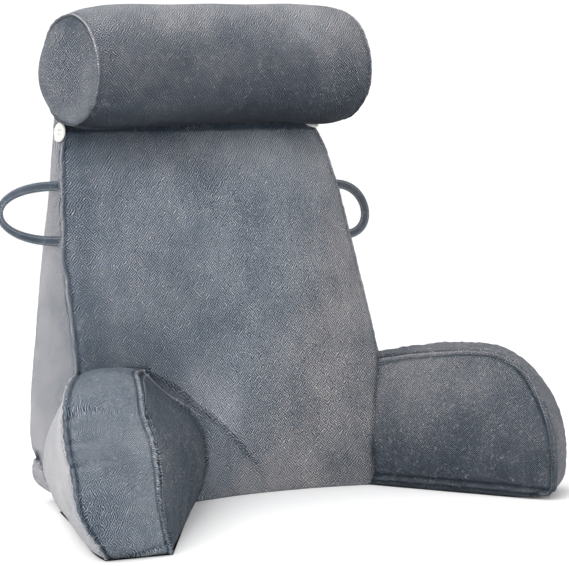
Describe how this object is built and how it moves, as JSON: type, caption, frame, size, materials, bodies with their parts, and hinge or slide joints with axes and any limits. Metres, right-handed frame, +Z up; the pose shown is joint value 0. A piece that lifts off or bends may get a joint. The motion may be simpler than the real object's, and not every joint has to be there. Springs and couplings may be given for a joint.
{
  "type": "reading pillow with arms",
  "caption": "Leaning backrest cushion with splayed armrests, a cylindrical neck roll along its top and a strap loop at each side, for sitting up to read in bed or on the floor.",
  "frame": {"origin": "middle of the backrest's flat underside, on the surface the cushion stands on", "axes": "+Z up, -Y the way a sitter faces and the arms reach, +X the sitter's side that shows at the right of the picture"},
  "size_m": [0.7474, 0.399, 0.6136],
  "materials": {
    "velour": "short-pile velour, soft sheen at grazing angles",
    "strap": "the same velour folded flat and topstitched along both edges",
    "button_plastic": "pale translucent plastic, polished"
  },
  "bodies": {
    "root": {"backrest": "velour", "arm_left": "velour", "arm_right": "velour", "neck_roll": "velour", "handle_left": "strap", "handle_right": "strap", "button_left": "button_plastic", "button_right": "button_plastic"}
  },
  "joints": []
}
